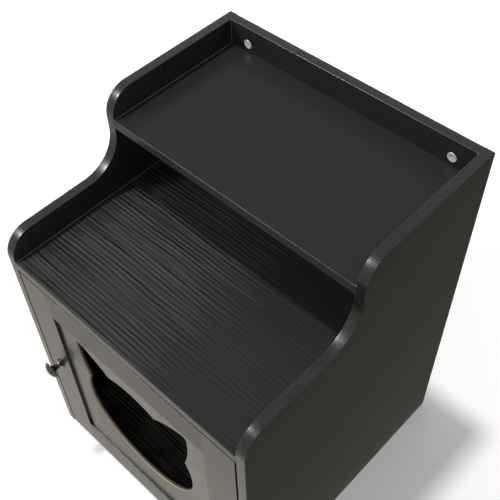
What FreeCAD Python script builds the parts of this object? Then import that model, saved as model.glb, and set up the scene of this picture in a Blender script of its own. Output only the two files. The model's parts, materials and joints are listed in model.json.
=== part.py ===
"""Cat litter box cabinet: a stepped flat-pack cabinet of laminated board.

Two side panels with a stepped, rounded outline carry a bottom board, a lower
top, an upper shelf and a back rail, all drawn together with cam fittings and
dowels. A thin back is nailed on. An inset five-piece door with a cat-head
opening swings on two concealed cup hinges and is held by a magnetic catch.

Lengths are millimetres. While it is being made, x runs to the right and y to
the back from the front left corner of the side panels, and z runs up from
their lower edge. The finished pieces are then moved so that the origin is the
middle of the footprint on the floor.
"""
import FreeCAD
import Part
import math
import os

Vec = FreeCAD.Vector
RIGHT = Vec(1, 0, 0)
BACK = Vec(0, 1, 0)
UP = Vec(0, 0, 1)

# ---- boards ---------------------------------------------------------------
width = 460.0                # over both side panels
panel_depth = 460.0          # front to back of a side panel
panel_height = 630.0
board = 15.0                 # thickness of every laminated board
back_thickness = 3.0
edge_round = 0.8             # softened edge of the banded boards

# ---- stepped outline of the side panels -------------------------------------
step_depth = 207.0           # the upper tier starts this far behind the front
upper_tier_rise = 125.0      # of the upper tier above the lower one
tier_round = 40.0            # the two rounded top corners
step_round = 60.0            # the hollow curve where the tiers meet

# ---- places of the boards between the panels --------------------------------
lower_top_drop = 45.0        # from the lower tier's edge down to the board
upper_shelf_drop = 42.0      # from the upper tier's edge down to the shelf

# ---- thin back --------------------------------------------------------------
back_side_inset = 4.0
back_bottom_inset = 4.0
back_top_inset = 12.0
nail_edge_distance = 5.0     # from the thin back's edges to its end nails
nail_radius = 0.7
nail_length = 16.0
nail_head_radius = 1.8
nail_head_thickness = 0.8
nail_rows = 5                # nails along each side
point_length = 1.5           # the taper of every nail and screw
point_radius = 0.4

# ---- feet -------------------------------------------------------------------
glide_height = 3.0
glide_radius = 6.8
glide_rim_height = 1.6       # the straight part of the glide's side
glide_sole_radius = 4.8
glide_inset = 40.0           # from the front and back ends of a side panel
glide_nail_radius = 0.9
glide_nail_length = 13.0
glide_recess_radius = 2.4
glide_recess_depth = 1.2

# ---- cam fittings and dowels --------------------------------------------------
cam_radius = 7.5
cam_depth = 12.0
cam_reach = 34.0             # from the side panel's face to the middle of the cam
cam_slot_length = 8.0
cam_slot_width = 1.5
cam_slot_depth = 2.5
bolt_thread_radius = 3.0
bolt_thread_length = 10.5
bolt_shank_radius = 3.4
bolt_neck_radius = 2.0
bolt_neck_length = 6.0
bolt_head_radius = 3.3
bolt_head_length = 2.6
bolt_head_offset = 2.0       # from the middle of the cam to the end of the bolt
dowel_radius = 4.0
dowel_in_panel = 10.0
dowel_in_board = 20.0
dowel_chamfer = 1.0
dowel_spacing = 32.0         # from a cam fitting to the dowel beside it
rail_dowel_spacing = 18.0
fitting_inset_front = 60.0   # from a board's front edge to its first fitting
fitting_inset_back = 60.0    # from a side panel's back edge to the last fitting
shelf_inset = 40.0           # the same at both ends of the upper shelf
fit_gap = 0.05               # round a fitted pin or plug, on the radius
end_gap = 0.5                # beyond the end of a fitted pin

# ---- door ---------------------------------------------------------------------
door_gap = 3.0               # at both sides and at the top
door_bottom = 6.0            # above the lower edge of the side panels
door_thickness = 15.0
door_edge_round = 0.4
frame_width = 58.0           # of the stiles and rails
inset_thickness = 6.0        # the thin panel held in the frame
groove_depth = 8.0
groove_gap = 0.2             # across the thickness of the thin panel
inset_float = 1.0            # between the thin panel's edge and the groove's floor
door_clearance = 1.0         # between the turning door and the bottom board

# ---- cat-head opening -----------------------------------------------------------
head_bottom_margin = 50.0    # from the bottom rail up to the chin
ear_top_margin = 19.0        # from the ear tips up to the top rail
ear_tip_rise = 23.0          # of the ear tips above the crown
ear_tip_overhang = 1.0       # of the ear tips beyond the head's sides
ear_outer_inset = 10.5       # from the head's side in to the outer foot of an ear
ear_base_width = 55.5        # from the outer foot in to the inner foot
ear_bulge = 4.5              # how far an ear's sides bow out
ear_tip_round = 7.0
ear_foot_round = 5.0

# ---- knob -----------------------------------------------------------------------
knob_rise = 7.0              # above the middle of the door
knob_radius = 15.0
knob_reach = 26.0
knob_rim_reach = 19.5        # from the door's face to the widest ring
knob_rim_radius = 1.2
knob_base_radius = 8.0
knob_base_thickness = 2.4
knob_base_bevel = 1.0
knob_base_sweep = 1.6        # from the base ring in to the neck
knob_neck_radius = 4.6
knob_neck_length = 10.7      # from the door's face to the flare
knob_flare_depth = 2.4       # from the rim's back to the middle of the flare
knob_flare_spread = 2.6      # of the middle of the flare beyond the neck
knob_screw_radius = 2.0
knob_screw_head_radius = 4.2
knob_screw_head_thickness = 2.4
knob_screw_grip = 9.0        # length of thread inside the knob
head_crown_share = 0.7       # of a pan head's radius, across its flat top

# ---- concealed hinges -------------------------------------------------------------
hinge_end_distance = 80.0    # from the door's top and bottom to each hinge
cup_radius = 17.5
cup_depth = 11.5
cup_wall = 0.8
cup_edge_distance = 5.0      # from the door's edge to the cup
flange_thickness = 1.2
flange_radius = 19.0
flange_ear_radius = 6.0
cup_screw_spacing = 48.0
cup_screw_offset = 9.5
cup_screw_radius = 1.75
cup_screw_length = 10.0
cup_screw_head_radius = 3.4
sunk_rim = 0.2               # the straight edge of every sunk head
sunk_share = 0.9             # of a plate's thickness that a sunk head fills
pivot_from_edge = 11.0       # from the door's edge to the pivot pin
pivot_from_face = 7.0        # from the door's face to the pivot pin
pin_radius = 1.0
pin_gap = 0.05               # running clearance of the arm on its pin
knuckle_radius = 2.2
arm_thickness = 2.0
arm_width = 14.0
arm_clearance = 0.5          # between the turning door edge and the arm
arm_height = 10.0            # of the channel above the side panel
arm_length = 44.0
arm_wall = 1.2
arm_bend_radius = 1.8
plate_thickness = 2.0
plate_setback = 37.0         # from the door's inner face to the plate screws
plate_screw_spacing = 32.0
plate_wing_width = 14.0
plate_wing_overhang = 6.0
plate_screw_radius = 2.0
plate_screw_length = 12.0
plate_screw_head_radius = 3.8
arm_screw_radius = 2.0
arm_screw_head_radius = 3.6
arm_screw_head_thickness = 1.4
arm_screw_spacing = 16.0

# ---- magnetic catch ---------------------------------------------------------------
catch_length = 46.0
catch_body_length = 26.0
catch_body_height = 14.0
catch_body_depth = 13.0
catch_ear_thickness = 3.0
catch_ear_round = 4.3
catch_gap = 0.3              # between the poles and the strike plate
magnet_cover = 2.0           # of the case behind the magnet
pole_thickness = 1.6
pole_spacing = 6.0
pole_length = 18.0
pole_reach = 1.0             # the poles stand out of the case by this much
strike_length = 36.0
strike_height = 12.0
strike_thickness = 1.0
strike_drop = 2.5            # from the door's top edge to the plate
strike_round = 2.0
strike_screw_radius = 1.3
strike_screw_head_radius = 2.7
strike_screw_length = 9.5
catch_screw_radius = 1.6
catch_screw_length = 11.0
catch_screw_head_radius = 3.1
catch_screw_head_thickness = 1.6
catch_screw_spacing = 36.0

# ---- sizes worked out from these ----------------------------------------------------
panel_inner_left = board
panel_inner_right = width - board
overall_depth = panel_depth + back_thickness
middle_x = width / 2
lower_tier_height = panel_height - upper_tier_rise
lower_top_height = lower_tier_height - lower_top_drop
upper_shelf_height = panel_height - upper_shelf_drop
bottom_board_height = board
rail_front = panel_depth - board
rail_bottom = upper_shelf_height - board
rail_middle = (rail_bottom + panel_height) / 2

door_left = panel_inner_left + door_gap
door_right = panel_inner_right - door_gap
door_top = lower_top_height - board - door_gap
stile_inner_left = door_left + frame_width
stile_inner_right = door_right - frame_width
rail_inner_bottom = door_bottom + frame_width
rail_inner_top = door_top - frame_width
inset_front = (door_thickness - inset_thickness) / 2
inset_back = inset_front + inset_thickness

# the cat's head fills the thin panel's height, between its margins
head_span = rail_inner_top - rail_inner_bottom - head_bottom_margin - ear_top_margin
head_radius = (head_span - ear_tip_rise) / 2
head_height = rail_inner_bottom + head_bottom_margin + head_radius

pivot_x = door_right - pivot_from_edge
pivot_y = pivot_from_face
door_sweep = math.hypot(pivot_from_edge, door_thickness - pivot_from_face)
arm_inner_x = pivot_x - door_sweep - arm_clearance
arm_cross_y = pivot_y + door_sweep + arm_clearance
cup_x = door_right - cup_edge_distance - cup_radius
hinge_heights = (door_bottom + hinge_end_distance, door_top - hinge_end_distance)

bottom_board_front = pivot_y + door_sweep + door_clearance
catch_x = (door_left + stile_inner_left) / 2
catch_top = lower_top_height - board
catch_front = door_thickness + strike_thickness + catch_gap
knob_x = (door_left + stile_inner_left) / 2
knob_height = (door_bottom + door_top) / 2 + knob_rise

# the middle of the footprint, knob included, on the floor
origin = Vec(middle_x, (overall_depth - knob_reach) / 2, -glide_height)


# ---- small helpers --------------------------------------------------------------------
def block(x_range, y_range, z_range):
    """A box from three (low, high) pairs."""
    size = [high - low for low, high in (x_range, y_range, z_range)]
    return Part.makeBox(*size, Vec(x_range[0], y_range[0], z_range[0]))


def rod(radius, start, direction, length):
    """A cylinder that starts at a point and runs along a direction."""
    return Part.makeCylinder(radius, length, start, direction)


def about(value, half):
    """The (low, high) pair that lies round a value."""
    return value - half, value + half


def edges_where(shape, test):
    """The edges whose two ends and middle all pass a test."""
    chosen = []
    for edge in shape.Edges:
        middle = edge.valueAt((edge.FirstParameter + edge.LastParameter) / 2)
        points = [vertex.Point for vertex in edge.Vertexes] + [middle]
        if all(test(point) for point in points):
            chosen.append(edge)
    return chosen


def soften(shape, test, radius=edge_round):
    """Round the edges that pass a test."""
    return shape.makeFillet(radius, edges_where(shape, test))


def near(value, target):
    return abs(value - target) < 0.01


def revolve(outline, base, axis):
    """Turn a closed outline once round an axis through a point."""
    return Part.Face(Part.Wire(outline)).revolve(base, axis, 360)


def turned_profile(points, start, direction):
    """A turned piece from (distance along, radius) pairs, ends on the axis."""
    side = direction.cross(UP)
    if side.Length < 0.5:
        side = direction.cross(RIGHT)
    side.normalize()
    places = [start + direction * along + side * radius for along, radius in points]
    places = [start + direction * points[0][0]] + places + [start + direction * points[-1][0]]
    return revolve(Part.makePolygon(places + places[:1]).Edges, start, direction)


def pan_screw(seat, direction, grip, radius, head_radius, head_thickness):
    """A screw whose rounded head sits on a surface, at the seat point."""
    return turned_profile([
        (-head_thickness, head_radius * head_crown_share),
        (-head_thickness / 2, head_radius),
        (0, head_radius),
        (0, radius),
        (grip - point_length, radius),
        (grip, point_radius),
    ], seat, direction)


def sunk_screw(face_point, direction, length, radius, head_radius, plate):
    """A screw whose cone-shaped head is sunk flush into a plate of a thickness."""
    return turned_profile([
        (0, head_radius),
        (sunk_rim, head_radius),
        (plate * sunk_share, radius),
        (length - point_length, radius),
        (length, point_radius),
    ], face_point, direction)


pieces = {}


def add(name, solids):
    """Keep a node: one solid, or a list of equal separate ones."""
    solids = solids if isinstance(solids, list) else [solids]
    pieces.setdefault(name, []).extend(solids)


# ---- cam fittings, dowels and nails -------------------------------------------------------
def cam_lock(face_point, outward, toward_bolt):
    """A cam disc sunk into a board, with a cross slot and a pocket for the bolt's head."""
    across = outward.cross(toward_bolt)
    depth = cam_depth - end_gap
    disc = rod(cam_radius - fit_gap, face_point, -outward, depth)
    axis_point = face_point - outward * (board / 2)
    tools = []
    for along in (toward_bolt + across, toward_bolt - across):
        along = along.normalize()
        start = face_point - along * (cam_slot_length / 2)
        side = outward.cross(along)
        corners = [
            start + side * (cam_slot_width / 2),
            start - side * (cam_slot_width / 2),
            start - side * (cam_slot_width / 2) + along * cam_slot_length,
            start + side * (cam_slot_width / 2) + along * cam_slot_length,
        ]
        slot = Part.Face(Part.makePolygon(corners + corners[:1]))
        tools.append(slot.extrude(-outward * cam_slot_depth))
    head_start = axis_point + toward_bolt * (bolt_head_offset - end_gap)
    head_room = bolt_head_length + 2 * end_gap
    tools.append(rod(bolt_head_radius + fit_gap, head_start, toward_bolt, head_room))
    tools.append(rod(bolt_neck_radius + fit_gap, axis_point, toward_bolt, cam_radius))
    return disc.cut(tools)


def cam_bolt(panel_point, into_board):
    """The steel bolt that screws into a side panel and ends in the cam."""
    head_end = cam_reach - bolt_head_offset
    neck_start = head_end - bolt_head_length - bolt_neck_length
    profile = [
        (-bolt_thread_length, bolt_thread_radius),
        (0, bolt_thread_radius),
        (0, bolt_shank_radius),
        (neck_start, bolt_shank_radius),
        (neck_start, bolt_neck_radius),
        (head_end - bolt_head_length, bolt_neck_radius),
        (head_end - bolt_head_length, bolt_head_radius),
        (head_end, bolt_head_radius),
    ]
    return turned_profile(profile, panel_point, into_board)


def dowel(panel_point, into_board):
    """A beech dowel with chamfered ends."""
    profile = [
        (-dowel_in_panel, dowel_radius - dowel_chamfer),
        (-dowel_in_panel + dowel_chamfer, dowel_radius),
        (dowel_in_board - dowel_chamfer, dowel_radius),
        (dowel_in_board, dowel_radius - dowel_chamfer),
    ]
    return turned_profile(profile, panel_point, into_board)


def join(board_name, cam_points, dowel_points, outward):
    """Fit a board to both side panels. Points are (y, z) on its middle plane.

    Returns the tools that cut the board and those that cut each side panel.
    """
    board_tools = []
    panel_tools = {"left": [], "right": []}
    ends = (("left", panel_inner_left, RIGHT), ("right", panel_inner_right, -RIGHT))
    for side, x, inward in ends:
        for y, z in cam_points:
            start = Vec(x, y, z)
            cam_face = start + inward * cam_reach + outward * (board / 2)
            add(board_name + "_cam_locks", cam_lock(cam_face, outward, -inward))
            add(board_name + "_cam_bolts", cam_bolt(start, inward))
            board_tools.append(rod(cam_radius, cam_face, -outward, cam_depth))
            board_tools.append(rod(bolt_shank_radius + fit_gap, start, inward, cam_reach))
            hole_depth = bolt_thread_length + end_gap
            thread_hole = rod(bolt_thread_radius + fit_gap, start, -inward, hole_depth)
            panel_tools[side].append(thread_hole)
        for y, z in dowel_points:
            start = Vec(x, y, z)
            add(board_name + "_dowels", dowel(start, inward))
            radius = dowel_radius + fit_gap
            board_tools.append(rod(radius, start, inward, dowel_in_board + end_gap))
            panel_tools[side].append(rod(radius, start, -inward, dowel_in_panel + end_gap))
    return board_tools, panel_tools


def back_nail(x, z):
    """A short nail through the thin back, its head driven flush."""
    profile = [
        (0, nail_head_radius),
        (nail_head_thickness, nail_head_radius),
        (nail_head_thickness, nail_radius),
        (nail_length - point_length, nail_radius),
        (nail_length, point_radius),
    ]
    return turned_profile(profile, Vec(x, overall_depth, z), -BACK)


# ---- carcass ----------------------------------------------------------------------------
def panel_outline(x):
    """The stepped outline of a side panel, drawn in the plane at x."""
    def at(y, z):
        return Vec(x, y, z)

    def arc(centre_y, centre_z, radius, first, last):
        points = []
        for degrees in (first, (first + last) / 2, last):
            angle = math.radians(degrees)
            points.append(at(centre_y + radius * math.cos(angle),
                             centre_z + radius * math.sin(angle)))
        return Part.Arc(*points).toShape()

    upper_centre = (step_depth + tier_round, panel_height - tier_round)
    hollow_centre = (step_depth - step_round, lower_tier_height + step_round)
    lower_centre = (tier_round, lower_tier_height - tier_round)
    edges = [
        Part.makeLine(at(0, 0), at(panel_depth, 0)),
        Part.makeLine(at(panel_depth, 0), at(panel_depth, panel_height)),
        Part.makeLine(at(panel_depth, panel_height), at(upper_centre[0], panel_height)),
        arc(*upper_centre, tier_round, 90, 180),
        Part.makeLine(at(step_depth, upper_centre[1]), at(step_depth, hollow_centre[1])),
        arc(*hollow_centre, step_round, 0, -90),
        Part.makeLine(at(hollow_centre[0], lower_tier_height),
                      at(lower_centre[0], lower_tier_height)),
        arc(*lower_centre, tier_round, 90, 180),
        Part.makeLine(at(0, lower_centre[1]), at(0, 0)),
    ]
    return Part.Wire(edges)


def side_panel(x, tools):
    panel = Part.Face(panel_outline(x)).extrude(RIGHT * board)
    panel = soften(panel, lambda p: near(p.x, x))
    panel = soften(panel, lambda p: near(p.x, x + board))
    return panel.cut(tools)


def lying_board(name, front, back, top, cam_ys, dowel_ys, panel_tools):
    """A board between the side panels, with its fittings in the underside."""
    middle = top - board / 2
    span = (panel_inner_left, panel_inner_right)
    piece = block(span, (front, back), (top - board, top))
    piece = soften(piece, lambda p: near(p.y, front) and (near(p.z, top) or near(p.z, top - board)))
    cams = [(y, middle) for y in cam_ys]
    dowels = [(y, middle) for y in dowel_ys]
    tools, side_tools = join(name, cams, dowels, -UP)
    for side in panel_tools:
        panel_tools[side] += side_tools[side]
    return piece.cut(tools)


def full_depth_fittings(front):
    """Fitting places of a board that runs to the back edge."""
    first = front + fitting_inset_front
    last = panel_depth - fitting_inset_back
    return (first, last), (first + dowel_spacing, last - dowel_spacing)


def back_nail_places():
    """Nails along both sides and into the boards' back edges."""
    low = back_bottom_inset + nail_edge_distance
    high = panel_height - back_top_inset - nail_edge_distance
    places = []
    for row in range(nail_rows):
        z = low + (high - low) * row / (nail_rows - 1)
        places += [(board / 2, z), (width - board / 2, z)]
    for z in (bottom_board_height / 2, lower_top_height - board / 2, rail_middle):
        places += [(width / 3, z), (width * 2 / 3, z)]
    return places


def build_carcass():
    panel_tools = {"left": [], "right": []}

    cams, dowels = full_depth_fittings(0)
    add("lower_top", lying_board("lower_top", 0, panel_depth, lower_top_height,
                                 cams, dowels, panel_tools))
    cams, dowels = full_depth_fittings(bottom_board_front)
    bottom = lying_board("bottom_board", bottom_board_front, panel_depth, bottom_board_height,
                         cams, dowels, panel_tools)
    cams = (step_depth + shelf_inset, rail_front - shelf_inset)
    dowels = (cams[0] + dowel_spacing, cams[1] - dowel_spacing)
    add("upper_shelf", lying_board("upper_shelf", step_depth, rail_front, upper_shelf_height,
                                   cams, dowels, panel_tools))

    rail = block((panel_inner_left, panel_inner_right), (rail_front, panel_depth),
                 (rail_bottom, panel_height))
    rail = soften(rail, lambda p: near(p.z, panel_height) and
                  (near(p.y, rail_front) or near(p.y, panel_depth)))
    rail_y = rail_front + board / 2
    tools, side_tools = join("back_rail", [(rail_y, rail_middle)],
                             [(rail_y, rail_middle - rail_dowel_spacing)], -BACK)
    for side in panel_tools:
        panel_tools[side] += side_tools[side]

    nails = [back_nail(x, z) for x, z in back_nail_places()]
    nail_holes = Part.makeCompound(nails)
    add("back_panel_nails", nails)
    add("back_rail", rail.cut(tools).cut(nail_holes))
    add("bottom_board", bottom.cut(nail_holes))
    pieces["lower_top"] = [pieces["lower_top"][0].cut(nail_holes)]

    thin_back = block((back_side_inset, width - back_side_inset), (panel_depth, overall_depth),
                      (back_bottom_inset, panel_height - back_top_inset))
    add("back_panel", thin_back.cut(nail_holes))

    glide_nails = []
    for x in (board / 2, width - board / 2):
        for y in (glide_inset, panel_depth - glide_inset):
            glide, nail = foot_glide(x, y)
            add("foot_glides", glide)
            add("foot_glide_nails", nail)
            glide_nails.append(nail)
    shared = [nail_holes] + glide_nails
    hinge_tools = [rod(plate_screw_radius + fit_gap, Vec(panel_inner_right, y, z), RIGHT,
                       plate_screw_length + end_gap) for y, z in plate_screw_places()]
    add("left_side_panel", side_panel(0, panel_tools["left"] + shared))
    add("right_side_panel",
        side_panel(panel_inner_right, panel_tools["right"] + shared + hinge_tools))


def foot_glide(x, y):
    """A moulded glide with a domed sole, and the nail that holds it."""
    sole = turned_profile([
        (0, glide_radius),
        (glide_rim_height, glide_radius),
        (glide_height, glide_sole_radius),
    ], Vec(x, y, 0), -UP)
    head_face = glide_nail_length + glide_height - glide_recess_depth
    nail = turned_profile([
        (0, point_radius),
        (point_length, glide_nail_radius),
        (head_face - nail_head_thickness, glide_nail_radius),
        (head_face - nail_head_thickness, glide_recess_radius),
        (head_face, glide_recess_radius),
    ], Vec(x, y, glide_nail_length), -UP)
    recess = rod(glide_recess_radius, Vec(x, y, -glide_height), UP,
                 glide_recess_depth + nail_head_thickness)
    passage = rod(glide_nail_radius, Vec(x, y, -glide_height), UP, glide_height)
    return sole.cut([recess, passage]), nail


# ---- door ---------------------------------------------------------------------------------
def frame_piece(x_range, z_range):
    """A stile or rail with its four long edges softened on both faces."""
    piece = block(x_range, (0, door_thickness), z_range)
    faces = (0, door_thickness)
    return soften(piece, lambda p: any(near(p.y, y) for y in faces), door_edge_round)


def groove_range():
    return about(door_thickness / 2, (inset_thickness + groove_gap) / 2)


def tongue_range():
    return about(door_thickness / 2, inset_thickness / 2)


def stile(x_range, inner_x, inward):
    """An upright with a groove along its inner edge for the thin panel and the tongues."""
    piece = frame_piece(x_range, (door_bottom, door_top))
    groove_xs = sorted((inner_x, inner_x - inward * groove_depth))
    groove = block(groove_xs, groove_range(), (door_bottom, door_top))
    return piece.cut(groove)


def door_rail(z_range, inner_z, inward):
    """A cross-piece with a tongue at each end and a groove along its inner edge."""
    piece = frame_piece((stile_inner_left, stile_inner_right), z_range)
    reach = groove_depth - inset_float
    tongue = block((stile_inner_left - reach, stile_inner_right + reach), tongue_range(), z_range)
    groove_zs = sorted((inner_z, inner_z - inward * groove_depth))
    groove = block((stile_inner_left - reach, stile_inner_right + reach), groove_range(), groove_zs)
    return piece.fuse(tongue).cut(groove).removeSplitter()


def bowed(first, last, bulge):
    """An arc between two points that bows out to its left by the bulge."""
    chord = last - first
    outward = Vec(-chord.z, 0, chord.x).normalize()
    return Part.Arc(first, (first + last) / 2 + outward * bulge, last).toShape()


def cat_head():
    """The cat-head cutter: a round head with two upright ears, run through the door."""
    def on_head(reach, sign):
        rise = sign * math.sqrt(head_radius ** 2 - reach ** 2)
        return Vec(middle_x + reach, 0, head_height + rise)

    outer_reach = head_radius - ear_outer_inset
    inner_reach = outer_reach - ear_base_width
    tip_reach = head_radius + ear_tip_overhang
    tip_height = head_height + head_radius + ear_tip_rise
    outer_right = on_head(outer_reach, 1)
    inner_right = on_head(inner_reach, 1)
    outer_left = on_head(-outer_reach, 1)
    inner_left = on_head(-inner_reach, 1)
    chin = on_head(0, -1)
    crown = on_head(0, 1)
    tip_right = Vec(middle_x + tip_reach, 0, tip_height)
    tip_left = Vec(middle_x - tip_reach, 0, tip_height)
    outline = Part.Wire([
        Part.Arc(outer_left, chin, outer_right).toShape(),
        bowed(outer_right, tip_right, -ear_bulge),
        bowed(tip_right, inner_right, -ear_bulge),
        Part.Arc(inner_right, crown, inner_left).toShape(),
        bowed(inner_left, tip_left, -ear_bulge),
        bowed(tip_left, outer_left, -ear_bulge),
    ])
    cutter = Part.Face(outline).extrude(BACK * door_thickness)

    def through_edges(solid, points):
        return edges_where(solid, lambda p: any(near(p.x, q.x) and near(p.z, q.z) for q in points))

    cutter = cutter.makeFillet(ear_tip_round, through_edges(cutter, (tip_right, tip_left)))
    feet = (outer_right, inner_right, outer_left, inner_left)
    return cutter.makeFillet(ear_foot_round, through_edges(cutter, feet))


def knob():
    """A turned knob: a base ring, a slim neck and a wide domed head."""
    def at(reach, radius):
        return Vec(knob_x, -reach, knob_height + radius)

    ring_edge = knob_base_thickness - knob_base_bevel
    neck_start = knob_base_thickness + knob_base_sweep
    rim_back = knob_rim_reach - knob_rim_radius
    rim_front = knob_rim_reach + knob_rim_radius
    flare_middle = at(rim_back - knob_flare_depth, knob_neck_radius + knob_flare_spread)
    dome_height = knob_reach - rim_front
    dome_edge = knob_radius - knob_rim_radius
    dome_radius = (dome_height ** 2 + dome_edge ** 2) / (2 * dome_height)
    half_angle = math.asin(dome_edge / dome_radius) / 2
    dome_middle = at(knob_reach - dome_radius * (1 - math.cos(half_angle)),
                     dome_radius * math.sin(half_angle))
    outline = [
        Part.makeLine(at(0, 0), at(0, knob_base_radius)),
        Part.makeLine(at(0, knob_base_radius), at(ring_edge, knob_base_radius)),
        Part.makeLine(at(ring_edge, knob_base_radius),
                      at(knob_base_thickness, knob_base_radius - knob_base_bevel)),
        Part.makeLine(at(knob_base_thickness, knob_base_radius - knob_base_bevel),
                      at(neck_start, knob_neck_radius)),
        Part.makeLine(at(neck_start, knob_neck_radius), at(knob_neck_length, knob_neck_radius)),
        Part.Arc(at(knob_neck_length, knob_neck_radius), flare_middle,
                 at(rim_back, dome_edge)).toShape(),
        Part.Arc(at(rim_back, dome_edge), at(knob_rim_reach, knob_radius),
                 at(rim_front, dome_edge)).toShape(),
        Part.Arc(at(rim_front, dome_edge), dome_middle, at(knob_reach, 0)).toShape(),
        Part.makeLine(at(knob_reach, 0), at(0, 0)),
    ]
    return revolve(outline, at(0, 0), BACK)


def knob_screw():
    """The screw put through the stile from behind."""
    seat = Vec(knob_x, door_thickness, knob_height)
    return pan_screw(seat, -BACK, door_thickness + knob_screw_grip, knob_screw_radius,
                     knob_screw_head_radius, knob_screw_head_thickness)


# ---- hinges -------------------------------------------------------------------------------
def hinge_cup(z):
    """The drawn cup with its flange, holes for the pin and seats for two screws."""
    bottom = Vec(cup_x, door_thickness - cup_depth, z)
    cup = rod(cup_radius - fit_gap, bottom, BACK, cup_depth)
    flange = rod(flange_radius, Vec(cup_x, door_thickness, z), BACK, flange_thickness)
    ear_x = cup_x - cup_screw_offset
    ears = [rod(flange_ear_radius, Vec(ear_x, door_thickness, ear_z), BACK, flange_thickness)
            for ear_z in about(z, cup_screw_spacing / 2)]
    bridge = block(about(ear_x, flange_ear_radius),
                   (door_thickness, door_thickness + flange_thickness),
                   about(z, cup_screw_spacing / 2))
    body = cup.fuse([flange, bridge] + ears).removeSplitter()
    hollow = rod(cup_radius - fit_gap - cup_wall, bottom + BACK * cup_wall, BACK,
                 cup_depth + flange_thickness)
    pin_hole = rod(pin_radius, Vec(pivot_x, pivot_y, z - cup_radius), UP, 2 * cup_radius)
    return body.cut([hollow, pin_hole] + [cup_screw(z, end) for end in (-1, 1)])


def cup_screw(z, end):
    """A countersunk screw that holds the cup's flange to the stile."""
    face_point = Vec(cup_x - cup_screw_offset, door_thickness + flange_thickness,
                     z + end * cup_screw_spacing / 2)
    return sunk_screw(face_point, -BACK, cup_screw_length, cup_screw_radius,
                      cup_screw_head_radius, flange_thickness)


def hinge_pin(z):
    """The pin across the cup. It reaches into the cup's wall at both ends."""
    far_side = pivot_x - cup_x + pin_radius
    half = math.sqrt((cup_radius - 2 * fit_gap) ** 2 - far_side ** 2)
    return rod(pin_radius, Vec(pivot_x, pivot_y, z - half), UP, 2 * half)


def hinge_arm(z):
    """The bent arm: a channel along the side panel, then a loop round the door's edge.

    The loop stays outside the circle that the door's corner turns in, dips into
    the cup and ends in the knuckle on the pin.
    """
    half = arm_thickness / 2
    outer_x = arm_inner_x - arm_thickness
    channel_x = panel_inner_right - arm_height
    cross_back = arm_cross_y + arm_thickness
    corners = [
        (pivot_x, pivot_y - half),
        (outer_x, pivot_y - half),
        (outer_x, cross_back),
        (channel_x + arm_wall, cross_back),
        (channel_x + arm_wall, arm_cross_y),
        (arm_inner_x, arm_cross_y),
        (arm_inner_x, pivot_y + half),
        (pivot_x, pivot_y + half),
    ]
    low = z - arm_width / 2
    points = [Vec(x, y, low) for x, y in corners]
    hook = Part.Face(Part.makePolygon(points + points[:1])).extrude(UP * arm_width)
    for y in (pivot_y - half, cross_back):
        hook = soften(hook, lambda p: near(p.x, outer_x) and near(p.y, y), arm_bend_radius)
    knuckle = rod(knuckle_radius, Vec(pivot_x, pivot_y, low), UP, arm_width)
    channel = block((channel_x, panel_inner_right - plate_thickness),
                    (arm_cross_y, arm_cross_y + arm_length), about(z, arm_width / 2))
    channel = soften(channel, lambda p: near(p.x, channel_x) and not near(p.y, arm_cross_y),
                     arm_wall)
    inside = block((channel_x + arm_wall, panel_inner_right),
                   (arm_cross_y + arm_thickness, arm_cross_y + arm_length),
                   about(z, arm_width / 2 - arm_wall))
    arm = channel.cut(inside).fuse([hook, knuckle]).removeSplitter()
    tools = [rod(pin_radius + pin_gap, Vec(pivot_x, pivot_y, low), UP, arm_width)]
    tools += [arm_screw(y, z, fit_gap) for y in arm_screw_places()]
    return arm.cut(tools)


def plate_middle_y():
    return door_thickness + plate_setback


def plate_screw_places():
    return [(plate_middle_y(), z + side * plate_screw_spacing / 2)
            for z in hinge_heights for side in (-1, 1)]


def arm_screw_places():
    return about(plate_middle_y(), arm_screw_spacing / 2)


def hinge_plate(z):
    """The cross-shaped plate that is screwed to the side panel under the arm."""
    plate_x = (panel_inner_right - plate_thickness, panel_inner_right)
    wings = block(plate_x, about(plate_middle_y(), plate_wing_width / 2),
                  about(z, plate_screw_spacing / 2 + plate_wing_overhang))
    spine = block(plate_x, (arm_cross_y, arm_cross_y + arm_length), about(z, arm_width / 2))
    boss_width = arm_width / 2 - arm_wall - fit_gap
    boss = block((panel_inner_right - arm_height + arm_wall + fit_gap, panel_inner_right),
                 about(plate_middle_y(), arm_screw_spacing / 2 + arm_screw_head_radius),
                 about(z, boss_width))
    plate = wings.fuse([spine, boss]).removeSplitter()
    tools = [plate_screw(y, screw_z) for y, screw_z in plate_screw_places()
             if abs(screw_z - z) < plate_screw_spacing]
    tools += [arm_screw(y, z, 0) for y in arm_screw_places()]
    return plate.cut(tools)


def plate_screw(y, z):
    """A countersunk screw through a wing of the plate into the side panel."""
    face_point = Vec(panel_inner_right - plate_thickness, y, z)
    return sunk_screw(face_point, RIGHT, plate_thickness + plate_screw_length,
                      plate_screw_radius, plate_screw_head_radius, plate_thickness)


def arm_screw(y, z, gap):
    """A screw that clamps the arm's channel to the plate's boss."""
    face_point = Vec(panel_inner_right - arm_height, y, z)
    return turned_profile([
        (-arm_screw_head_thickness, arm_screw_head_radius * head_crown_share),
        (-arm_screw_head_thickness / 2, arm_screw_head_radius),
        (0, arm_screw_head_radius),
        (0, arm_screw_radius + gap),
        (arm_height - plate_thickness, arm_screw_radius + gap),
    ], face_point, RIGHT)


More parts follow.
